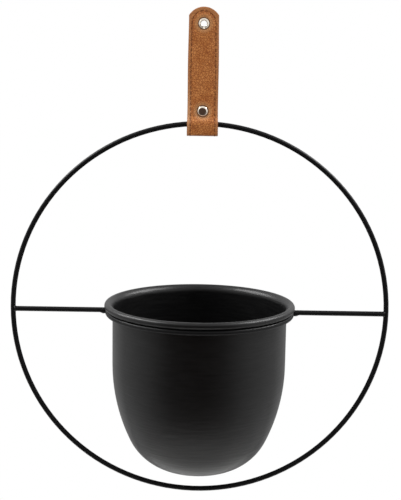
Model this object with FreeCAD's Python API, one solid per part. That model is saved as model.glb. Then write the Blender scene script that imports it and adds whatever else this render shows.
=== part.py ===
import FreeCAD, Part
import math
import os

# Hanging planter: a wire ring hangs in the fold of a leather strap, two bars cross the ring to a hoop,
# and a pot drops into the hoop and rests on its rolled rim. The origin is the middle of the eyelet's
# hole at the top of the strap. +Z is up, +X runs along the bars and +Y points at the wall.
# Sizes are in millimetres and angles in degrees.

# Strap: two leathers glued and sewn together, folded round the ring into a front and a back leg
strap_width = 24.0
face_leather = 1.2
lining_leather = 1.0
glue_line = 0.05
leg_gap = 0.4
shoulder_rise = 6.2  # from the eyelet up to where the rounded end begins
end_rise = 12.5  # from the eyelet up to the tip of the rounded end
eyelet_to_rivet = 66.0
cap_to_parting = 0.4  # from the rivet's cap down to where the legs part
parting_radius = 2.5  # outside of the leather at that bend
parting_angle = 34.0  # slope of the legs out to the wire
closing_angle = 8.5  # slope of the legs in to the fold
fold_radius = 1.6  # inside of the fold
wire_play = 0.4  # room round the wire in the loop

# Seam: one line of thread along both edges and round the end, sunk in a groove
seam_inset = 2.5
thread_width = 0.9
thread_rise = 0.1
groove_depth = 0.5
groove_clearance = 0.05

# Eyelet: a barrel with a sloping flange and a rolled lip, clenched over a washer at the back
eyelet_bore = 4.6
eyelet_wall = 0.4
flange_width = 1.65
flange_edge = 0.1
flange_slope = 32.0
lip_radius = 0.35
washer_width = 1.6
washer_thickness = 0.5
clench_width = 0.9
clench_rise = 0.35
hole_clearance = 0.05

# Rivet: a domed cap pressed on to a post with a flatter back head
cap_diameter = 8.0
cap_edge = 0.4
cap_rise = 1.3
post_diameter = 3.0
socket_depth = 1.0
socket_clearance = 0.03
head_diameter = 8.0
head_edge = 0.4
head_rise = 0.9

# Wire frame: ring, hoop and bars, with a fillet weld at each end of a bar
ring_wire = 4.0
hoop_wire = 4.0
bar_wire = 4.0
weld_leg = 1.6
weld_rise = 0.8
root_gap = 0.1  # between a bar's end and the wire it is welded to
ring_below_pot = 19.8

# Pot: spun sheet with a straight wall, a rounded bottom, a flat base and a rim curled outwards
pot_diameter = 138.0
pot_wall = 0.8
straight_wall = 43.5
belly_radius = 144.0
belly_turn = 25.3
heel_radius = 43.8
heel_turn = 44.0
foot_radius = 12.0
rim_bead = 5.3
flare_radius = 6.0
curl_turn = 310.0
hoop_clearance = 1.8  # between the pot's wall and the hoop
seat_gap = 0.3  # between the rim and the hoop

cut_margin = 1.0  # how far a cutting tool passes the surface it cuts
same_point = 1e-6  # points closer than this are one

X = FreeCAD.Vector(1, 0, 0)
Y = FreeCAD.Vector(0, 1, 0)
Z = FreeCAD.Vector(0, 0, 1)
ORIGIN = FreeCAD.Vector(0, 0, 0)

# Outlines: a run is two points of a line, or three points of an arc, in a flat plane


def polar(centre, radius, angle):
    """Point at a radius and an angle in degrees from a centre."""
    turn = math.radians(angle)
    return (centre[0] + radius * math.cos(turn), centre[1] + radius * math.sin(turn))


def arc(centre, radius, start, end):
    """Run along an arc between two angles in degrees."""
    angles = (start, (start + end) / 2, end)
    return tuple(polar(centre, radius, angle) for angle in angles)


def joined(*pieces):
    """Runs through points and arcs in turn, with straight lines where one ends short of the next."""
    runs = []
    end = pieces[0][-1]
    for piece in pieces[1:]:
        if math.dist(end, piece[0]) > same_point:
            runs.append((end, piece[0]))
        if len(piece) == 3:
            runs.append(piece)
        end = piece[-1]
    return runs


def turned_back(runs):
    """The same runs, followed the other way."""
    return [tuple(reversed(run)) for run in reversed(runs)]


def between(outer, inner):
    """Closed outline between two open outlines that run the same way."""
    back = turned_back(inner)
    return outer + [(outer[-1][-1], back[0][0])] + back + [(back[-1][-1], outer[0][0])]


def face_of(runs, place):
    """Flat face inside closed runs, each point put in space by the place function."""
    edges = []
    for run in runs:
        points = [place(*point) for point in run]
        curve = Part.Arc(*points) if len(points) == 3 else Part.LineSegment(*points)
        edges.append(curve.toShape())
    return Part.Face(Part.Wire(edges))


def turned_on_y(runs, height):
    """Solid turned about the Y direction at a height, from an outline of radius and depth."""
    face = face_of(runs, lambda radius, depth: FreeCAD.Vector(radius, depth, height))
    return face.revolve(FreeCAD.Vector(0, 0, height), Y, 360)


# Strap section: the line of the lining's inside, and every line at an offset outside it
leather = lining_leather + glue_line + face_leather
half_gap = leg_gap / 2
strap_half = half_gap + leather
loop_radius = ring_wire / 2 + wire_play
parting_inside = parting_radius + leather
parting_cos = math.cos(math.radians(parting_angle))
parting_sin = math.sin(math.radians(parting_angle))
parting_drop = (parting_inside + loop_radius - (half_gap + parting_inside) * parting_cos) / parting_sin
rivet_z = -eyelet_to_rivet
parting_z = rivet_z - cap_diameter / 2 - cap_to_parting
loop_z = parting_z - parting_drop
fold_z = loop_z - (loop_radius - fold_radius) / math.sin(math.radians(closing_angle))
end_sag = end_rise - shoulder_rise
end_radius = (strap_width ** 2 / 4 + end_sag ** 2) / (2 * end_sag)


def strap_runs(offset, top):
    """Line at an offset outside the lining, from one leg's top round the fold to the other's."""
    parting_centre = (half_gap + parting_inside, parting_z)
    down = [
        ((half_gap + offset, top),),
        arc(parting_centre, parting_inside - offset, 180, 180 + parting_angle),
        arc((0, loop_z), loop_radius + offset, parting_angle, -closing_angle),
    ]
    fold = arc((0, fold_z), fold_radius + offset, -closing_angle, closing_angle - 180)
    up = [tuple((-y, z) for y, z in reversed(piece)) for piece in reversed(down)]
    return joined(*down, fold, *up)


def strap_layer(inside, outside, top, left, width):
    """Layer of the folded strap between two offsets, over a stretch of its width."""
    runs = between(strap_runs(outside, top), strap_runs(inside, top))
    return face_of(runs, lambda y, z: FreeCAD.Vector(left, y, z)).extrude(X * width)


def strap_outline():
    """Block with the strap's front outline: straight edges and a rounded end above the eyelet."""
    half = strap_width / 2
    bottom = fold_z - fold_radius - leather - cut_margin
    shoulder = math.degrees(math.acos(half / end_radius))
    end = arc((0, end_rise - end_radius), end_radius, shoulder, 180 - shoulder)
    corner = ((half, bottom),)
    runs = joined(corner, end, ((-half, bottom),), corner)
    depth = loop_radius + leather + cut_margin
    return face_of(runs, lambda x, z: FreeCAD.Vector(x, -depth, z)).extrude(Y * 2 * depth)


def seam(inside, outside, clearance):
    """Closed loop of the stitching: two lines round the fold, joined by an arc on each leg."""
    half = thread_width / 2 + clearance
    line = strap_width / 2 - seam_inset
    pieces = [strap_layer(inside, outside, 0, side * line - half, 2 * half) for side in (-1, 1)]
    bend = between([arc((0, 0), line + half, 0, 180)], [arc((0, 0), line - half, 0, 180)])
    for depth in (half_gap + inside, -half_gap - outside):
        face = face_of(bend, lambda x, z: FreeCAD.Vector(x, depth, z))
        pieces.append(face.extrude(Y * (outside - inside)))
    return pieces[0].multiFuse(pieces[1:]).removeSplitter()


def through_hole(radius, height):
    """Tool for a round hole through both legs."""
    depth = strap_half + cut_margin
    return Part.makeCylinder(radius, 2 * depth, FreeCAD.Vector(0, -depth, height), Y)


barrel_radius = eyelet_bore / 2 + eyelet_wall
post_radius = post_diameter / 2
eyelet_hole = through_hole(barrel_radius + hole_clearance, 0)
rivet_hole = through_hole(post_radius + hole_clearance, rivet_z)


def strap_ply(inside, outside):
    """One leather of the strap, cut to the outline and punched for the eyelet and the rivet."""
    layer = strap_layer(inside, outside, end_rise + cut_margin, -strap_width / 2, strap_width)
    return layer.common(strap_outline()).cut([eyelet_hole, rivet_hole])


def face_ply():
    """Face leather with the groove that the stitching sinks into."""
    groove = seam(leather - groove_depth, leather + thread_rise + cut_margin, groove_clearance)
    return strap_ply(leather - face_leather, leather).cut(groove)


def stitching():
    """The thread in its groove, standing a little proud of the leather."""
    return seam(leather - groove_depth + groove_clearance, leather + thread_rise, 0)


# Eyelet and rivet, each turned about its own axis through the strap


def eyelet():
    """Barrel with a sloping flange and lip in front and a clenched end behind the washer."""
    bore = eyelet_bore / 2
    flange = bore + flange_width
    clench = barrel_radius + clench_width
    end = strap_half + washer_thickness
    edge = [((flange, -strap_half),), ((flange, -strap_half - flange_edge),)]
    lip = arc((bore + lip_radius, -end), lip_radius, flange_slope - 90, -180)
    back = ((bore, end), ((bore + clench) / 2, end + clench_rise), (clench, end))
    seat = ((barrel_radius, end),)
    root = ((barrel_radius, -strap_half),)
    return turned_on_y(joined(root, *edge, lip, back, seat, root), 0)


def washer():
    """Flat ring round the barrel, with its outer edge rounded."""
    inner = barrel_radius + hole_clearance
    outer = barrel_radius + washer_width
    low = strap_half
    high = strap_half + washer_thickness
    edge = arc((outer - washer_thickness / 2, (low + high) / 2), washer_thickness / 2, -90, 90)
    start = ((inner, low),)
    return turned_on_y(joined(start, edge, ((inner, high),), start), 0)


def dome(radius, edge, rise, side):
    """Runs over a round head from its rim to its middle, on the strap's front (-1) or back (1)."""
    rim = (radius, side * (strap_half + edge))
    crown = (0, side * (strap_half + rise))
    sphere = (radius ** 2 + (rise - edge) ** 2) / (2 * (rise - edge))
    half_turn = math.asin(radius / sphere) / 2
    drop = sphere * (1 - math.cos(half_turn))
    middle = (sphere * math.sin(half_turn), side * (strap_half + rise - drop))
    return [((radius, side * strap_half),), (rim, middle, crown)]


def rivet_cap():
    """Domed front cap, hollow in the middle for the post."""
    socket = post_radius + socket_clearance
    top = -strap_half - socket_depth
    hollow = [((0, top),), ((socket, top),), ((socket, -strap_half),)]
    rim = dome(cap_diameter / 2, cap_edge, cap_rise, -1)
    return turned_on_y(joined(*rim, *hollow, rim[0]), rivet_z)


def rivet_post():
    """Post with its back head, reaching through the strap into the cap."""
    top = -strap_half - socket_depth + socket_clearance
    shank = [((0, top),), ((post_radius, top),), ((post_radius, strap_half),)]
    rim = dome(head_diameter / 2, head_edge, head_rise, 1)
    return turned_on_y(joined(*shank, *rim, shank[0]), rivet_z)


# Pot section: arcs that meet smoothly from the base up to the wall, then the flare and the curl.
# Heights are above the hoop.
pot_radius = pot_diameter / 2
hoop_radius = pot_radius + hoop_clearance + hoop_wire / 2
curl_height = hoop_wire / 2 + seat_gap + rim_bead / 2
curl_radius = rim_bead / 2 - pot_wall / 2
wall_middle = pot_radius - pot_wall / 2
flare_to_curl = flare_radius - curl_radius
flare_turn = math.degrees(math.acos((flare_radius - hoop_radius + wall_middle) / flare_to_curl))
flare_height = curl_height - flare_to_curl * math.sin(math.radians(flare_turn))
flare_centre = (wall_middle + flare_radius, flare_height)
curl_centre = (hoop_radius, curl_height)
belly_centre = (pot_radius - belly_radius, flare_height - straight_wall)
heel_centre = polar(belly_centre, belly_radius - heel_radius, -belly_turn)
foot_start = belly_turn + heel_turn
foot_centre = polar(heel_centre, heel_radius - foot_radius, -foot_start)
base_height = foot_centre[1] - foot_radius

# The ring hangs with the middle of its wire's rise inside the loop on the loop's own middle
ring_radius = ring_below_pot - base_height + ring_wire / 2
wire_rise = ring_radius - math.sqrt(ring_radius ** 2 - (strap_width / 2) ** 2)
ring_z = loop_z + wire_rise / 2 - ring_radius


def pot_runs(inset):
    """The pot's section from the middle of its base to the end of the curl, inset from outside."""
    return joined(
        ((0, base_height + inset),),
        arc(foot_centre, foot_radius - inset, -90, -foot_start),
        arc(heel_centre, heel_radius - inset, -foot_start, -belly_turn),
        arc(belly_centre, belly_radius - inset, -belly_turn, 0),
        arc(flare_centre, flare_radius - pot_wall / 2 + inset, 180, 180 - flare_turn),
        arc(curl_centre, curl_radius - pot_wall / 2 + inset, 180 - flare_turn, 180 - curl_turn),
    )


def pot():
    """Sheet between the outer and the inner face, turned about the pot's axis."""
    runs = between(pot_runs(0), pot_runs(pot_wall))
    face = face_of(runs, lambda radius, height: FreeCAD.Vector(radius, 0, ring_z + height))
    return face.revolve(ORIGIN, Z, 360)


# Wire frame: hoop and bars are level with the ring's middle
bar_start = hoop_radius + hoop_wire / 2 + root_gap
bar_end = ring_radius - ring_wire / 2 - root_gap


def bar(side):
    """Straight bar from the hoop to the ring, with square ends."""
    start = FreeCAD.Vector(side * bar_start, 0, ring_z)
    return Part.makeCylinder(bar_wire / 2, bar_end - bar_start, start, X * side)


def weld(side, wire_middle, wire, towards, neighbours):
    """Weld metal that fills up to the wire and runs out in a hollow slope along the bar."""
    start = wire_middle + towards * wire / 4
    end = wire_middle + towards * (wire / 2 + weld_leg)
    low = bar_wire / 2
    high = low + weld_rise
    sag = ((2 * start + end) / 3, (2 * low + high) / 3)
    slope = ((start, high), sag, (end, low))
    axis = ((start, 0),)
    runs = joined(axis, slope, ((end, 0),), axis)
    face = face_of(runs, lambda along, radius: FreeCAD.Vector(side * along, radius, ring_z))
    collar = face.revolve(FreeCAD.Vector(0, 0, ring_z), X, 360)
    return collar.cut(neighbours)


middle = FreeCAD.Vector(0, 0, ring_z)
ring = Part.makeTorus(ring_radius, ring_wire / 2, middle, Y)
pot_hoop = Part.makeTorus(hoop_radius, hoop_wire / 2, middle, Z)
rim_room = Part.makeTorus(hoop_radius, rim_bead / 2 + seat_gap, middle + Z * curl_height, Z)

nodes = {
    "hanging_eyelet": eyelet(),
    "eyelet_washer": washer(),
    "strap_face": face_ply(),
    "strap_lining": strap_ply(0, lining_leather),
    "stitching": stitching(),
    "rivet_cap": rivet_cap(),
    "rivet_post": rivet_post(),
    "ring": ring,
    "pot_hoop": pot_hoop,
    "pot": pot(),
}
for name, side in (("left", -1), ("right", 1)):
    rod = bar(side)
    nodes[name + "_bar"] = rod
    nodes[name + "_ring_weld"] = weld(side, ring_radius, ring_wire, -1, [ring, rod])
    nodes[name + "_hoop_weld"] = weld(side, hoop_radius, hoop_wire, 1, [pot_hoop, rod, rim_room])

os.makedirs("parts", exist_ok=True)
for name, shape in nodes.items():
    shape.exportStep("parts/" + name + ".step")
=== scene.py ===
import math
import random

import bpy
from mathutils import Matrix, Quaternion, Vector, noise


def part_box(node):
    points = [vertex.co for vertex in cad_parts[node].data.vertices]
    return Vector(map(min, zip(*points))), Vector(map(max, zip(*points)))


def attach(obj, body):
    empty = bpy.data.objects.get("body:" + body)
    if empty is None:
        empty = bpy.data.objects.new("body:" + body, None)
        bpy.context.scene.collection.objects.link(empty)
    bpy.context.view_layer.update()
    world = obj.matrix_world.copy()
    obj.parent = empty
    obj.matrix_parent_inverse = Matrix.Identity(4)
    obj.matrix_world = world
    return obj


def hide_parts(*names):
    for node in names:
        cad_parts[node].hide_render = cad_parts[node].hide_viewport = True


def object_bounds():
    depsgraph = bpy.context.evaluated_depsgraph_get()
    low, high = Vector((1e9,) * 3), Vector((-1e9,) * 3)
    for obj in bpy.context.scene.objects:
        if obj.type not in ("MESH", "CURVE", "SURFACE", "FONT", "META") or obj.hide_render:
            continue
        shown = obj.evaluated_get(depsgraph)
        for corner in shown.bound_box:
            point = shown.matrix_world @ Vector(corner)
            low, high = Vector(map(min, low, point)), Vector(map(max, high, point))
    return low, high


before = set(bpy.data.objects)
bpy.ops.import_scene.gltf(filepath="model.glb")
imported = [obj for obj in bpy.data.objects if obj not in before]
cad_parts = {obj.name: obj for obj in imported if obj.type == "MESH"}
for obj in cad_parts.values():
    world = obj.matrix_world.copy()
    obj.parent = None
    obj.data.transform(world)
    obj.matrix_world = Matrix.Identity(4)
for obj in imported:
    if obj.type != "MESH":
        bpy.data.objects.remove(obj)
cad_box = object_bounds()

# Camera: stands in front of the planter, higher than the pot's rim, and looks slightly down into
# it. It is held a degree off level, which is why the bars of the ring seem to slope.
camera_place = Vector((0.0, -0.808, -0.0430))
camera_roll = math.radians(0.89)
focal_length = 74.84
view_middle = Vector((0.0, 0.0, -0.1745))


def aimed(name, data, place, roll):
    """A camera or lamp, turned to the middle of the view and rolled about that line."""
    thing = bpy.data.objects.new(name, data)
    thing.location = place
    thing.rotation_mode = "QUATERNION"
    level = (view_middle - place).to_track_quat("-Z", "Y")
    thing.rotation_quaternion = level @ Quaternion((0.0, 0.0, 1.0), roll)
    bpy.context.scene.collection.objects.link(thing)
    return thing


camera = bpy.data.cameras.new("camera")
camera.lens = focal_length
bpy.context.scene.camera = aimed("camera", camera, camera_place, camera_roll)
bpy.context.scene.view_settings.view_transform = "Standard"


# Studio: a white room, dark at the end behind the camera so that black paint keeps a dark middle,
# and greyer low at the back. Two long oval soft boxes lean at the sides and show in gloss; a lamp
# above and two fills in front only give light. The floor is a pale round plate.
white = (1.0, 1.0, 1.0, 1.0)
dark_tone = (0.066, 0.043, 0.035, 1.0)
lit_tone = (0.87, 0.87, 0.87, 1.0)
back_tone = (0.52, 0.52, 0.52, 1.0)
dark_end = (-0.076, -0.970, -0.230)  # way to the middle of the dark end, a little left and low
crisp_border = (math.cos(math.radians(40.0)), math.cos(math.radians(46.0)))  # above eye level
soft_border = (math.cos(math.radians(14.0)), math.cos(math.radians(76.0)))  # below it
eye_level = (-0.22, -0.08)
back_border = (-1.0, -0.1)  # from the middle of the back to where its grey has faded sideways
back_level = (0.02, 0.22)  # and upwards
soft_boxes = {  # place, width, height, lean in degrees, power, and whether gloss shows it
    "top_soft_box": (Vector((0.0, 0.0, 1.25)), 0.6, 0.6, 0.0, 15.4, False),
    "left_soft_box": (Vector((-0.95, 0.12, 0.69)), 1.2, 0.55, 35.0, 22.5, True),
    "right_soft_box": (Vector((0.95, 0.12, 0.69)), 1.2, 0.55, -35.0, 22.5, True),
    "low_fill": (Vector((-0.20, -1.20, -0.60)), 0.7, 0.7, 0.0, 8.6, False),
    "high_fill": (Vector((-0.10, -0.90, 0.95)), 0.5, 0.5, 0.0, 4.2, False),
}
floor_tone = (0.63, 0.63, 0.62, 1.0)
floor_glow = 0.04
floor_drop = 0.5  # under the lowest point of the ring
floor_radius = 0.50
floor_sides = 96


def fill(tree, node, inputs):
    """Sets inputs of a shader node to plain values, or joins them to other nodes."""
    sockets = {socket.name: socket for socket in node.inputs if socket.enabled}
    for name, value in inputs.items():
        socket = node.inputs[name] if isinstance(name, int) else sockets[name]
        if isinstance(value, bpy.types.NodeSocket):
            tree.links.new(value, socket)
        else:
            socket.default_value = value


def put(tree, kind, inputs, **options):
    """Adds a shader node with its options and inputs, and gives back its outputs."""
    node = tree.nodes.new(kind)
    for option, value in options.items():
        setattr(node, option, value)
    fill(tree, node, inputs)
    return {socket.name: socket for socket in node.outputs if socket.enabled}


def reckoned(tree, operation, first, second):
    """Two values multiplied, or the larger or smaller of them."""
    return put(tree, "ShaderNodeMath", {0: first, 1: second}, operation=operation)["Value"]


def ranged(tree, value, low=0.0, high=1.0, start=0.0, end=1.0):
    """Eased from low to high as a value goes from start to end."""
    return put(tree, "ShaderNodeMapRange", {
        "Value": value, "From Min": start, "From Max": end, "To Min": low, "To Max": high,
    }, interpolation_type="SMOOTHSTEP")["Result"]


def mixed(tree, share, first, second):
    """A colour between two colours."""
    return put(tree, "ShaderNodeMix", {
        "Factor": share, "A": first, "B": second,
    }, data_type="RGBA")["Result"]


def new_finish(name):
    """A material with its node tree and its surface shader."""
    material = bpy.data.materials.new(name)
    material.use_nodes = True
    return material, material.node_tree, material.node_tree.nodes["Principled BSDF"]


def new_piece(name, points, faces, material):
    """A smooth-shaded mesh object in the scene, with one material."""
    mesh = bpy.data.meshes.new(name)
    mesh.from_pydata(points, [], faces)
    mesh.shade_smooth()
    mesh.materials.append(material)
    piece = bpy.data.objects.new(name, mesh)
    bpy.context.scene.collection.objects.link(piece)
    return piece


room = bpy.data.worlds.new("white_room")
room.use_nodes = True
bpy.context.scene.world = room
room_tree = room.node_tree
looking = put(room_tree, "ShaderNodeTexCoord", {})["Generated"]
upwards = put(room_tree, "ShaderNodeSeparateXYZ", {"Vector": looking})["Z"]
to_dark = put(room_tree, "ShaderNodeVectorMath", {
    0: looking, 1: dark_end,
}, operation="DOT_PRODUCT")["Value"]
upper_light = ranged(room_tree, to_dark, 0.0, 1.0, *crisp_border)
lower_light = ranged(room_tree, to_dark, 0.0, 1.0, *soft_border)
upper_walls = mixed(room_tree, upper_light, dark_tone, lit_tone)
lower_walls = mixed(room_tree, lower_light, dark_tone, lit_tone)
above_eyes = ranged(room_tree, upwards, 0.0, 1.0, *eye_level)
front_walls = mixed(room_tree, above_eyes, lower_walls, upper_walls)
at_back = ranged(room_tree, to_dark, 1.0, 0.0, *back_border)
low_down = ranged(room_tree, upwards, 1.0, 0.0, *back_level)
low_back = reckoned(room_tree, "MULTIPLY", at_back, low_down)
walls = mixed(room_tree, low_back, front_walls, back_tone)
backdrop = put(room_tree, "ShaderNodeLightPath", {})["Is Camera Ray"]
fill(room_tree, room_tree.nodes["Background"], {"Color": mixed(room_tree, backdrop, walls, white)})

for name, (place, width, height, lean, power, in_gloss) in soft_boxes.items():
    lamp = bpy.data.lights.new(name, "AREA")
    lamp.shape = "ELLIPSE"
    lamp.size = width
    lamp.size_y = height
    lamp.energy = power
    aimed(name, lamp, place, math.radians(lean)).visible_glossy = in_gloss

floor_paint, floor_tree, floor_surface = new_finish("pale_floor")
floor_rays = put(floor_tree, "ShaderNodeLightPath", {})
floor_seen = reckoned(floor_tree, "MAXIMUM",
                      floor_rays["Is Camera Ray"], floor_rays["Is Glossy Ray"])
fill(floor_tree, floor_surface, {
    "Base Color": floor_tone,
    "Roughness": 0.9,
    "Specular IOR Level": 0.1,
    "Emission Color": white,
    "Emission Strength": ranged(floor_tree, floor_seen, high=floor_glow),
})
floor_turns = [math.tau * side / floor_sides for side in range(floor_sides)]
floor_height = cad_box[0].z - floor_drop
floor_edge = [
    (floor_radius * math.cos(turn), floor_radius * math.sin(turn), floor_height)
    for turn in floor_turns
]
floor = new_piece("floor", floor_edge, [range(floor_sides)], floor_paint)


# Wire frame: ring, hoop and two bars of round steel wire, joined with four welds and then coated
# as one in fine black powder, which leaves a slightly pebbled satin skin.
coat_dark = (0.0024, 0.0024, 0.0026, 1.0)
coat_light = (0.0046, 0.0046, 0.0049, 1.0)
coat_grain_depth = 0.000003


def spot(tree):
    """The place on the part that a shader colours, in metres of the part's own frame."""
    return put(tree, "ShaderNodeTexCoord", {})["Object"]


def clouds(tree, place, scale, detail=2.0):
    """Soft random patches, so many to a metre."""
    return put(tree, "ShaderNodeTexNoise", {
        "Vector": place, "Scale": scale, "Detail": detail,
    })["Fac"]


def raised(tree, height, depth, under=None):
    """The surface tilted as if a height pattern stood so deep on it, or on an earlier tilt."""
    inputs = {"Height": height, "Distance": depth, "Strength": 1.0}
    if under:
        inputs["Normal"] = under
    return put(tree, "ShaderNodeBump", inputs)["Normal"]


def coat_with(material, *nodes):
    """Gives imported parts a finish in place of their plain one."""
    for node in nodes:
        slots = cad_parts[node].data.materials
        slots.clear()
        slots.append(material)


wire_coat, coat_tree, coat_surface = new_finish("black_powder_coat")
coat_spot = spot(coat_tree)
coat_patches = clouds(coat_tree, coat_spot, scale=140.0, detail=3.0)
coat_grain = clouds(coat_tree, coat_spot, scale=2400.0)
fill(coat_tree, coat_surface, {
    "Base Color": mixed(coat_tree, coat_patches, coat_dark, coat_light),
    "Roughness": ranged(coat_tree, coat_patches, low=0.36, high=0.46),
    "Specular IOR Level": 0.06,
    "Coat Weight": 0.13,
    "Coat Roughness": 0.22,
    "Normal": raised(coat_tree, coat_grain, coat_grain_depth),
})
coat_with(wire_coat, "ring", "pot_hoop", "left_bar", "right_bar")
coat_with(wire_coat, "left_ring_weld", "right_ring_weld")


# Hoop welds: filler metal, melted on where a bar's end meets the hoop. Each set as a small uneven
# lump that hangs a little under the bar and runs out along it, and was coated with the frame.
MM = 0.001  # sizes from here on are in millimetres, depths of grain in metres
bar_radius = 2.0
weld_start = -2.0  # from the hoop's outside, in to the middle of its wire
weld_end = 4.6  # and out along the bar
weld_swell = 0.5
weld_taper = 1.5  # larger: thinner towards its two ends
weld_unevenness = 0.15
weld_sunk = 0.05  # how far its ends lie inside the bar
weld_rings = 24
weld_sides = 40


def tube_faces(start, rings, sides):
    """Faces of a tube from rings of points, closed at both ends."""
    faces = []
    last = start + rings * sides - sides
    for first in range(start, last, sides):
        for side in range(sides):
            here, beside = first + side, first + (side + 1) % sides
            faces.append((here, beside, beside + sides, here + sides))
    faces.append(tuple(range(start + sides - 1, start - 1, -1)))
    faces.append(tuple(range(last, last + sides)))
    return faces


def weld_lump(name, bar, way):
    """A closed lump round the inner end of a bar, which lies that way from the hoop."""
    hoop_edge = max(way * corner.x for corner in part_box("pot_hoop"))
    bar_height = sum(corner.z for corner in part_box(bar)) / 2
    points = []
    for ring in range(weld_rings + 1):
        share = ring / weld_rings
        out = weld_start + (weld_end - weld_start) * share
        for side in range(weld_sides):
            turn = math.tau * side / weld_sides
            lump = noise.noise(Vector((out, math.cos(turn), way * math.sin(turn))))
            uneven = 1.0 + weld_unevenness * lump
            swell = weld_swell * math.sin(math.pi * share) ** weld_taper * uneven
            radius = bar_radius - weld_sunk + swell
            across, up = radius * math.cos(turn), radius * math.sin(turn) - swell
            points.append((
                way * (hoop_edge + out * MM), way * across * MM, bar_height + up * MM,
            ))
    return new_piece(name, points, tube_faces(0, weld_rings + 1, weld_sides), wire_coat)


for hand_side, way in (("left", -1), ("right", 1)):
    hoop_weld = weld_lump(hand_side + "_weld_lump", hand_side + "_bar", way)
    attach(hoop_weld, "frame")
    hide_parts(hand_side + "_hoop_weld")


# Pot: sheet metal spun to a round bottom, with its rim curled outwards into a bead. It is sprayed
# satin black inside and out, over faint lines that the spinning left round its wall.
pot_dark = (0.0004, 0.0004, 0.0005, 1.0)
pot_light = (0.0022, 0.0022, 0.0023, 1.0)
pot_lines_per_metre = (60.0, 60.0, 640.0)  # long round the wall, close together up it
pot_lines_contrast = (0.3, 0.7)
pot_lines_depth = 0.00014
pot_peel_depth = 0.000006

pot_paint, pot_tree, pot_surface = new_finish("black_satin_paint")
pot_spot = spot(pot_tree)
pot_patches = clouds(pot_tree, pot_spot, scale=45.0, detail=4.0)
pot_peel = clouds(pot_tree, pot_spot, scale=900.0, detail=1.0)
pot_turned = put(pot_tree, "ShaderNodeVectorMath", {
    0: pot_spot, 1: pot_lines_per_metre,
}, operation="MULTIPLY")["Vector"]
pot_lines = clouds(pot_tree, pot_turned, scale=1.0)
pot_shares = ranged(pot_tree, pot_lines, 0.0, 1.0, *pot_lines_contrast)
pot_spun = raised(pot_tree, pot_lines, pot_lines_depth)
pot_skin = raised(pot_tree, pot_peel, pot_peel_depth, pot_spun)
fill(pot_tree, pot_surface, {
    "Base Color": mixed(pot_tree, pot_shares, pot_dark, pot_light),
    "Roughness": ranged(pot_tree, pot_patches, low=0.42, high=0.50),
    "Specular IOR Level": 0.15,
    "Coat Weight": 0.28,
    "Coat Roughness": 0.29,
    "Normal": pot_skin,
    "Coat Normal": pot_skin,
})
coat_with(pot_paint, "pot")


# Strap face: one strip of brown leather with a fine pebbled grain, folded round the ring so that
# the grain shows in front and behind. Its cut edges are burnished dark, the front's left edge is
# coloured paler above the fold, and the seam pulls a shallow groove into it. Its colour also holds
# painted shade in the stitch holes, painted sheen beside the seam and round the fasteners, and a
# painted shadow close round the fastener heads.
strap_half_width = 12.0
strap_widths = [  # height on the leg, and width there
    (5.0, 22.9),
    (-30.0, 23.7),
    (-62.0, 23.5),
    (-84.0, 24.0),
]
strap_front = 2.45  # from the middle of the strap to the outside of a leg
end_rise = 12.5  # from the eyelet up to the tip of the rounded end
shoulder_rise = 6.2
rivet_drop = 66.0
parting_drop = 68.93  # from the eyelet down to where the legs part
parting_radius = 8.0
parting_angle = math.radians(30.0)
bulge_front = 5.0  # from the middle of the strap out to where it stands out most, over the wire
bulge_radius = 11.0
closing_angle = math.radians(5.0)  # slope of the legs in to the fold
closing_run = 3.2
corner_radius = 2.4
corner_angle = math.radians(70.0)

face_thickness = 1.2
face_edge_radius = 0.5
seam_radius = 9.5
stitch_count = 51  # on each side of the strap
stitch_dash = 2.4
eyelet_hole = 2.75
eyelet_radius = 3.95
rivet_hole = 1.55
rivet_radius = 4.0

lift_start = -58.0  # height under which the legs part, more and more on the way down
lift_run = 12.0
lift_growth = 1.3
lift_fade = (-80.0, -66.0)  # heights between which that comes to its end
lift_clear = (0.4, 4.0)  # from a fastener's rim: pinched, then free
swell_height = 0.42  # how far the leather swells between the two lines of the seam
swell_inside = (0.2, 4.0)  # in from the seam: flat, then swollen
swell_clear = (0.2, 2.8)  # and so from a fastener's rim
swell_fade = (-72.0, -66.0)
wave_height = 0.05
waves_per_mm = 0.16
groove_depth = 0.08
groove_width = 0.6
hole_depth = 0.25  # where a stitch goes in
hole_length = 0.3
hole_width = 0.35

face_dark = (0.288, 0.098, 0.0222, 1.0)
face_light = (0.360, 0.139, 0.037, 1.0)
face_contrast = (0.35, 0.65)
valley_brown = (0.185, 0.052, 0.0105, 1.0)
valley_width = 0.20
pebbles_per_metre = 530.0
pebble_depth = 0.00005
fibre_depth = 0.000008
# Painted shade: a darker brown in the holes where each stitch dives into the leather.
hole_shade_brown = (0.120, 0.042, 0.016, 1.0)
# Painted sheen: a paler, greyer brown on the bands between the seam and the rounded edges.
margin_sheen_brown = (0.274, 0.120, 0.047, 1.0)
margin_sheen_share = 0.6
margin_sheen_outside = (0.3, 1.0)  # from the seam towards the edge
# A paler brown along the front leg's left edge, above the fold.
paling_brown = (0.52, 0.31, 0.165, 1.0)
paling_share = 0.28
paling_grows = (-38.0, -69.0)  # heights between which it grows, and then fades
paling_fades = (-88.0, -70.0)
paling_outside = (-0.9, 0.6)  # across the seam, towards the edge
# Painted sheen: a paler brown round eyelet and rivet, where the leather dished round them catches
# light.
fastener_sheen_brown = (0.388, 0.206, 0.086, 1.0)
fastener_sheen_share = 0.5
fastener_sheen_within = 4.8  # from a fastener's axis
fastener_sheen_beyond = 8.5
# Painted shadow: a dark ring on the leather close round the heads of eyelet and rivet.
head_shadow_brown = (0.085, 0.036, 0.016, 1.0)
head_shadow_within = 4.4
head_shadow_beyond = 5.0
burnished_brown = (0.13, 0.045, 0.018, 1.0)
burnish_width = 0.4

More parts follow.
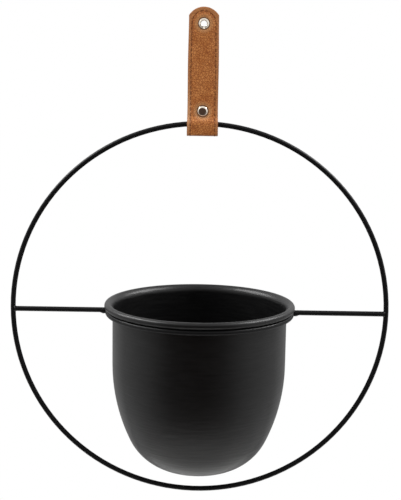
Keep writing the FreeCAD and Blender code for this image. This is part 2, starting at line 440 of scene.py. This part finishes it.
end_reach = 17.0  # how far from the ends the rows bend to the rounded outline
row_step = 0.34
column_step = 0.6
plain_columns = 14  # from the middle out to the seam, where they lie closer together
seam_columns = [8.2, 8.55, 8.85, 9.1, 9.3, 9.5, 9.7, 9.9, 10.15, 10.45, 10.8, 11.15]
edge_steps = [0.0, 0.02, 0.07, 0.16, 0.30, 0.50]  # in from a cut edge, to round it
sharp_angle = math.radians(50.0)

end_bow = end_rise - shoulder_rise
end_radius = (strap_half_width ** 2 + end_bow ** 2) / (2 * end_bow)
end_centre = end_rise - end_radius
parting_reach = (parting_radius + bulge_radius) * (1 - math.cos(parting_angle))
slope_reach = bulge_front - strap_front - parting_reach
closing_front = bulge_front - bulge_radius * (1 - math.cos(closing_angle))
corner_front = closing_front - closing_run * math.sin(closing_angle)
corner_depth = corner_radius * (math.cos(closing_angle) - math.cos(corner_angle))
bottom_radius = (corner_front - corner_depth) / math.cos(corner_angle)
bottom_angle = math.pi / 2 - corner_angle
strap_runs = [  # length and turn of each stretch of the outside, from the front end to the fold
    (end_rise + parting_drop, 0.0),
    (parting_radius * parting_angle, -parting_angle),
    (slope_reach / math.sin(parting_angle), 0.0),
    (bulge_radius * (parting_angle + closing_angle), parting_angle + closing_angle),
    (closing_run, 0.0),
    (corner_radius * (corner_angle - closing_angle), corner_angle - closing_angle),
    (bottom_radius * bottom_angle, bottom_angle),
]
strap_runs += strap_runs[::-1]
strap_length = sum(length for length, turn in strap_runs)


def smooth(value, start, end):
    """Eased share from 0 at start to 1 at end."""
    share = min(max((value - start) / (end - start), 0.0), 1.0)
    return share * share * (3.0 - 2.0 * share)


def strap_line(along):
    """Depth and height on the strap's outside, and the way out of it, so far along it."""
    place = Vector((-strap_front, end_rise))
    heading = -math.pi / 2
    for length, turn in strap_runs:
        step = min(along, length)
        bend = turn * step / length
        chord = step * math.sin(bend / 2) / (bend / 2) if bend else step
        middle = heading + bend / 2
        place += chord * Vector((math.cos(middle), math.sin(middle)))
        heading += bend
        along -= step
        if along <= 0.0:
            break
    return place, Vector((math.sin(heading), -math.cos(heading)))


def leg_height(along):
    """Height above the eyelet on either leg, and on down into the fold."""
    return end_rise - min(along, strap_length - along)


def strap_spread(height):
    """Share of the full width that the strap has at a height."""
    width = strap_widths[0][1]
    for (high, wide), (low, narrow) in zip(strap_widths, strap_widths[1:]):
        width += (narrow - wide) * smooth(height, high, low)
    return width / (2 * strap_half_width)


def from_fastener(x, along):
    """Distance from the rim of the nearer of eyelet and rivet."""
    height = leg_height(along)
    from_eyelet = math.hypot(x, height) - eyelet_radius
    from_rivet = math.hypot(x, height + rivet_drop) - rivet_radius
    return min(from_eyelet, from_rivet)


def leg_lift(x, along):
    """How far the legs stand out beside and below the rivet, which alone pinches them together."""
    height = leg_height(along)
    growth = max((lift_start - height) / lift_run, 0.0) ** 2
    parting = lift_growth * growth * smooth(height, *lift_fade)
    return parting * smooth(from_fastener(x, along), *lift_clear)


def strap_place(x, along, sink):
    """Point on the strap, sunk under its outside by some millimetres."""
    place, out = strap_line(along)
    spread = strap_spread(leg_height(along))
    depth = sink - leg_lift(x, along)
    return Vector((x * spread, place[0] - depth * out[0], place[1] - depth * out[1])) * MM


def seam_at(x, along):
    """Distance along the seam from the middle of the nearer end, and distance inside the seam."""
    height = leg_height(along)
    if height > 0.0:
        return seam_radius * math.atan2(abs(x), height), seam_radius - math.hypot(x, height)
    return seam_radius * math.pi / 2 - height, seam_radius - abs(x)


seam_length = 2 * seam_at(seam_radius, strap_length / 2)[0]
stitch_pitch = seam_length / stitch_count


def from_edge(x, along):
    """Distance in from the strap's outline."""
    height = leg_height(along)
    side = strap_half_width - abs(x)
    if height > end_centre:
        return min(side, end_radius - math.hypot(x, height - end_centre))
    return side


def stitch_pull(x, along):
    """How strongly the end of a stitch draws the leather in, up to 1."""
    run, inside = seam_at(x, along)
    past_end = abs((run / stitch_pitch) % 1.0 - 0.5) * stitch_pitch - stitch_dash / 2
    return math.exp(-(past_end / hole_length) ** 2 - (inside / hole_width) ** 2)


def face_sink(x, along):
    """How far the grain side lies under the strap's outside, from its edges in to its swell."""
    edge = face_edge_radius - min(max(from_edge(x, along), 0.0), face_edge_radius)
    rounding = face_edge_radius - math.sqrt(face_edge_radius ** 2 - edge ** 2)
    inside = seam_at(x, along)[1]
    clear = smooth(from_fastener(x, along), *swell_clear)
    swell = swell_height * smooth(inside, *swell_inside) * clear
    swell *= smooth(leg_height(along), *swell_fade)
    waves = noise.noise(Vector((waves_per_mm * x, waves_per_mm * along, 0.0)))
    waves = wave_height * waves * clear
    groove = groove_depth * math.exp(-(inside / groove_width) ** 2)
    return rounding - swell - waves + groove + hole_depth * stitch_pull(x, along)


def left_edge_paling(x, along):
    """How much paler the left edge of the front leg is coloured, mostly where the legs part."""
    if x > 0.0 or along > strap_length / 2:
        return 0.0
    height = leg_height(along)
    lower_end = smooth(height, *paling_grows) * smooth(height, *paling_fades)
    return paling_share * lower_end * smooth(-seam_at(x, along)[1], *paling_outside)


def drawn_in(x, along):
    """Distance along the strap, drawn in near its end to follow the rounded outline."""
    if along >= end_reach:
        return along
    reach = math.sqrt(end_radius ** 2 - x ** 2) - end_radius + end_reach
    return end_reach - (end_reach - along) * reach / end_reach


def strap_grid(steps):
    """Rows of points over the whole strap, as pairs of x and distance along it."""
    columns = [-x for x in reversed(steps[1:])] + steps
    run = strap_length / 2 - edge_steps[-1]
    count = round(run / row_step)
    half = edge_steps[:-1] + [edge_steps[-1] + run * n / count for n in range(count + 1)]
    rows = [[(x, drawn_in(x, along)) for x in columns] for along in half]
    rows += [[(x, strap_length - along) for x, along in row] for row in reversed(rows[:-1])]
    return rows


def punch(rows):
    """Faces of the grid that are left by the fasteners' holes, whose edges are made round."""
    holes = {0.0: eyelet_hole, -rivet_drop: rivet_hole}  # height and radius of each

    def in_hole(x, along):
        for height, radius in holes.items():
            if math.hypot(x, leg_height(along) - height) < radius:
                return height
        return None

    gone = [[in_hole(*point) for point in row] for row in rows]
    faces = []
    rim = {}
    for i in range(len(rows) - 1):
        for j in range(len(rows[0]) - 1):
            corners = [(i, j), (i + 1, j), (i + 1, j + 1), (i, j + 1)]
            hit = [gone[a][b] for a, b in corners if gone[a][b] is not None]
            if hit:
                rim.update((corner, hit[0]) for corner in corners)
            else:
                faces.append(corners)
    for (i, j), height in rim.items():
        x, along = rows[i][j]
        rise = leg_height(along) - height
        shrink = holes[height] / math.hypot(x, rise)
        leg = -1.0 if along < strap_length / 2 else 1.0
        rows[i][j] = (x * shrink, along + leg * rise * (shrink - 1.0))
    return faces


def leather_ply(name, steps, top_sink, bottom_sink, material):
    """A closed sheet of leather along the strap, from a function for each of its two sides."""
    rows = strap_grid(steps)
    quads = punch(rows)
    used = sorted({corner for quad in quads for corner in quad})
    index = {corner: n for n, corner in enumerate(used)}
    flat = [rows[i][j] for i, j in used]
    points = [strap_place(x, along, top_sink(x, along)) for x, along in flat]
    points += [strap_place(x, along, bottom_sink(x, along)) for x, along in flat]
    under = len(used)
    faces = []
    open_edges = {}
    for quad in quads:
        top = [index[corner] for corner in quad]
        faces.append(top)
        faces.append([n + under for n in reversed(top)])
        for start, end in zip(top, top[1:] + top[:1]):
            if (end, start) in open_edges:
                del open_edges[end, start]
            else:
                open_edges[start, end] = True
    faces += [(end, start, start + under, end + under) for start, end in open_edges]
    piece = new_piece(name, points, faces, material)
    piece.data.set_sharp_from_angle(angle=sharp_angle)
    return piece, flat


def mark(ply, name, outside, inside):
    """Stores values for a ply's material: one per point of its outside, one for its inside."""
    layer = ply.data.attributes.new(name, "FLOAT", "POINT")
    layer.data.foreach_set("value", outside + [inside] * len(outside))


def marked(tree, name):
    """The value that a ply stores at its points."""
    return put(tree, "ShaderNodeAttribute", {}, attribute_name=name)["Fac"]


def off_axis(tree, place, height):
    """Distance from the front-to-back axis at that height."""
    flat = put(tree, "ShaderNodeVectorMath", {
        0: place, 1: (1.0, 0.0, 1.0),
    }, operation="MULTIPLY")["Vector"]
    return put(tree, "ShaderNodeVectorMath", {
        0: flat, 1: (0.0, 0.0, height * MM),
    }, operation="DISTANCE")["Value"]


face_leather, face_tree, face_surface = new_finish("brown_grain_leather")
face_spot = spot(face_tree)
face_patches = clouds(face_tree, face_spot, scale=170.0, detail=4.0)
face_fibres = clouds(face_tree, face_spot, scale=3000.0, detail=3.0)
face_cells = put(face_tree, "ShaderNodeTexVoronoi", {
    "Vector": face_spot, "Scale": pebbles_per_metre, "Randomness": 1.0,
}, feature="DISTANCE_TO_EDGE")["Distance"]
face_pebbles = ranged(face_tree, face_cells, end=valley_width)
face_near = reckoned(face_tree, "MINIMUM", off_axis(face_tree, face_spot, 0.0),
                     off_axis(face_tree, face_spot, -rivet_drop))
face_fastener_sheen = ranged(face_tree, face_near, fastener_sheen_share, 0.0, fastener_sheen_within * MM, fastener_sheen_beyond * MM)
face_head_shadow = ranged(face_tree, face_near, 1.0, 0.0, head_shadow_within * MM, head_shadow_beyond * MM)
face_shades = ranged(face_tree, face_patches, 0.0, 1.0, *face_contrast)
face_brown = mixed(face_tree, face_shades, face_dark, face_light)
face_brown = mixed(face_tree, face_pebbles, valley_brown, face_brown)
for share, brown in (
    # painted shade in the stitch holes
    (marked(face_tree, "pull"), hole_shade_brown),
    # painted sheen beside the seam
    (marked(face_tree, "band"), margin_sheen_brown),
    # a paler left edge
    (marked(face_tree, "left_paling"), paling_brown),
    # painted sheen round the fasteners
    (face_fastener_sheen, fastener_sheen_brown),
    # painted shadow round the fastener heads
    (face_head_shadow, head_shadow_brown),
    (marked(face_tree, "edge"), burnished_brown),
):
    face_brown = mixed(face_tree, share, face_brown, brown)
face_grain = raised(face_tree, face_pebbles, pebble_depth)
fill(face_tree, face_surface, {
    "Base Color": face_brown,
    "Roughness": ranged(face_tree, face_patches, low=0.45, high=0.62),
    "Specular IOR Level": 0.4,
    "Normal": raised(face_tree, face_fibres, fibre_depth, face_grain),
})

face_steps = [column_step * n for n in range(plain_columns)] + seam_columns
face_steps += [strap_half_width - step for step in reversed(edge_steps)]
strap_face, face_points = leather_ply(
    "strap_grain_leather", face_steps, face_sink, lambda x, along: face_thickness, face_leather,
)
face_edges = [1.0 - smooth(from_edge(*point), 0.0, burnish_width) for point in face_points]
face_sheen_bands = [
    margin_sheen_share * smooth(-seam_at(*point)[1], *margin_sheen_outside) for point in face_points
]
mark(strap_face, "edge", face_edges, 1.0)
mark(strap_face, "left_paling", [left_edge_paling(*point) for point in face_points], 0.0)
mark(strap_face, "pull", [stitch_pull(*point) for point in face_points], 0.0)
mark(strap_face, "band", face_sheen_bands, 0.0)
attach(strap_face, "strap")
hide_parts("strap_face")


# Strap lining: a thinner, smoother split of the same hide, glued inside the face leather. It shows
# as the inner line of the strap's edges and where the loop opens round the wire.
lining_top = 1.25
lining_bottom = 2.25
lining_meets = 0.18  # how much further in it reaches where the two legs lie together
lining_parts = (-66.0, -58.0)  # heights between which they come apart
lining_dark = (0.20, 0.085, 0.038, 1.0)
lining_light = (0.29, 0.13, 0.062, 1.0)
lining_nap_depth = 0.00005
lining_steps = list(range(12)) + [11.6, 11.85]  # columns from the middle out to the edge


def lining_inside(x, along):
    """How far the inner side lies under the strap's outside."""
    return lining_bottom + lining_meets * smooth(leg_height(along), *lining_parts)


lining_leather, lining_tree, lining_surface = new_finish("lining_leather")
lining_spot = spot(lining_tree)
lining_nap = clouds(lining_tree, lining_spot, scale=1600.0, detail=4.0)
lining_patches = clouds(lining_tree, lining_spot, scale=160.0, detail=3.0)
fill(lining_tree, lining_surface, {
    "Base Color": mixed(lining_tree, lining_patches, lining_dark, lining_light),
    "Roughness": ranged(lining_tree, lining_nap, low=0.7, high=0.9),
    "Specular IOR Level": 0.2,
    "Normal": raised(lining_tree, lining_nap, lining_nap_depth),
})
strap_lining = leather_ply(
    "strap_lining_leather", lining_steps, lambda x, along: lining_top, lining_inside,
    lining_leather,
)[0]
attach(strap_lining, "strap")
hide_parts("strap_lining")


# Stitching: waxed brown thread, sewn through both leathers in one line round the strap. Each
# stitch is a short twisted length that rises out of one hole and dives into the next.
thread_half_width = 0.36
thread_half_height = 0.26
thread_lay = 0.10  # how far the middle of the thread lies under the strap's outside
thread_dive = 0.55
dive_start = 0.55  # share of the way from a stitch's middle to its end
thread_plies = 2
ply_swell = 0.13
thread_twist = 5.0
stitch_tuck = 0.25  # how far a stitch reaches into the hole at each end
stitch_slant = 0.10
slant_variation = 0.4
stitch_rings = 13
thread_sides = 12
thread_dark = (0.078, 0.024, 0.009, 1.0)
thread_light = (0.140, 0.048, 0.017, 1.0)
thread_fibre_depth = 0.00003


def seam_point(run, side, across, sink):
    """Point beside the seam, so far along it from the middle of the front rounded end."""
    near = min(run, seam_length - run)
    if near < seam_radius * math.pi / 2:
        turn = near / seam_radius
        radius = seam_radius + across
        x, along = radius * math.sin(turn), end_rise - radius * math.cos(turn)
    else:
        x, along = seam_radius + across, end_rise + near - seam_radius * math.pi / 2
    if run > seam_length / 2:
        along = strap_length - along
    return strap_place(side * x, along, sink)


def stitch_tube(middle, side, slant):
    """Rings of points for one stitch, a tube with plies twisted round each other."""
    points = []
    for ring in range(stitch_rings):
        share = 2.0 * ring / (stitch_rings - 1) - 1.0
        run = middle + share * (stitch_dash / 2 + stitch_tuck)
        sink = thread_lay + thread_dive * smooth(abs(share), dive_start, 1.0)
        for n in range(thread_sides):
            turn = math.tau * n / thread_sides
            ply = 1.0 + ply_swell * math.cos(thread_plies * turn - thread_twist * share)
            across = slant * share + thread_half_width * ply * math.cos(turn)
            up = thread_half_height * ply * math.sin(turn)
            points.append(seam_point(run, side, across, sink - up))
    return points


thread, thread_tree, thread_surface = new_finish("waxed_brown_thread")
thread_spot = spot(thread_tree)
thread_fibres = clouds(thread_tree, thread_spot, scale=5000.0)
thread_wear = clouds(thread_tree, thread_spot, scale=300.0)
fill(thread_tree, thread_surface, {
    "Base Color": mixed(thread_tree, thread_wear, thread_dark, thread_light),
    "Roughness": ranged(thread_tree, thread_wear, low=0.5, high=0.7),
    "Specular IOR Level": 0.12,
    "Normal": raised(thread_tree, thread_fibres, thread_fibre_depth),
})

hand = random.Random(4)
stitch_points = []
stitch_faces = []
for side in (-1, 1):
    for stitch in range(stitch_count):
        slant = stitch_slant * (1.0 + slant_variation * hand.uniform(-1.0, 1.0))
        faces = tube_faces(len(stitch_points), stitch_rings, thread_sides)
        stitch_faces += faces if side > 0 else [face[::-1] for face in faces]
        stitch_points += stitch_tube((stitch + 0.5) * stitch_pitch, side, side * slant)
stitches = new_piece("seam_stitches", stitch_points, stitch_faces, thread)
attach(stitches, "strap")
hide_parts("stitching")


# Eyelet, washer and rivet post: turned and pressed brass with bright nickel plate. The eyelet is
# clenched over its washer behind the strap, and the post below it goes through both legs, to close
# the loop.
nickel_dark = (0.84, 0.75, 0.63, 1.0)
nickel_light = (0.95, 0.88, 0.77, 1.0)
nickel_mark_depth = 0.000002

nickel, nickel_tree, nickel_surface = new_finish("bright_nickel")
nickel_spot = spot(nickel_tree)
nickel_haze = clouds(nickel_tree, nickel_spot, scale=420.0, detail=4.0)
nickel_marks = clouds(nickel_tree, nickel_spot, scale=5200.0, detail=1.0)
fill(nickel_tree, nickel_surface, {
    "Base Color": mixed(nickel_tree, nickel_haze, nickel_dark, nickel_light),
    "Metallic": 1.0,
    "Roughness": ranged(nickel_tree, nickel_haze, low=0.06, high=0.13),
    "Normal": raised(nickel_tree, nickel_marks, nickel_mark_depth),
})
coat_with(nickel, "hanging_eyelet", "eyelet_washer", "rivet_post")


# Rivet cap: pressed from thin brass sheet to a low dome that steepens towards its rim, and plated
# like the eyelet. It is hammered on to the post, and its rim bites into the grain of the leather.
cap_rise = 1.3
cap_rings = 24
cap_sides = 72

cap_points = [Vector((0.0, -strap_front - cap_rise, -rivet_drop)) * MM]
for ring in range(1, cap_rings + 1):
    slope = math.pi / 2 * ring / cap_rings
    reach = rivet_radius * math.sin(slope)
    depth = strap_front + cap_rise * math.cos(slope)
    for side in range(cap_sides):
        turn = math.tau * side / cap_sides
        across, up = reach * math.cos(turn), reach * math.sin(turn)
        cap_points.append(Vector((across, -depth, up - rivet_drop)) * MM)
cap_faces = [range(cap_rings * cap_sides, (cap_rings - 1) * cap_sides, -1)]
for side in range(cap_sides):
    here, beside = 1 + side, 1 + (side + 1) % cap_sides
    cap_faces.append((0, here, beside))
    for inner in range(0, (cap_rings - 1) * cap_sides, cap_sides):
        outer = inner + cap_sides
        cap_faces.append((here + inner, here + outer, beside + outer, beside + inner))
rivet_cap = new_piece("rivet_dome", cap_points, cap_faces, nickel)
rivet_cap.data.set_sharp_from_angle(angle=sharp_angle)
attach(rivet_cap, "strap")
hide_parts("rivet_cap")
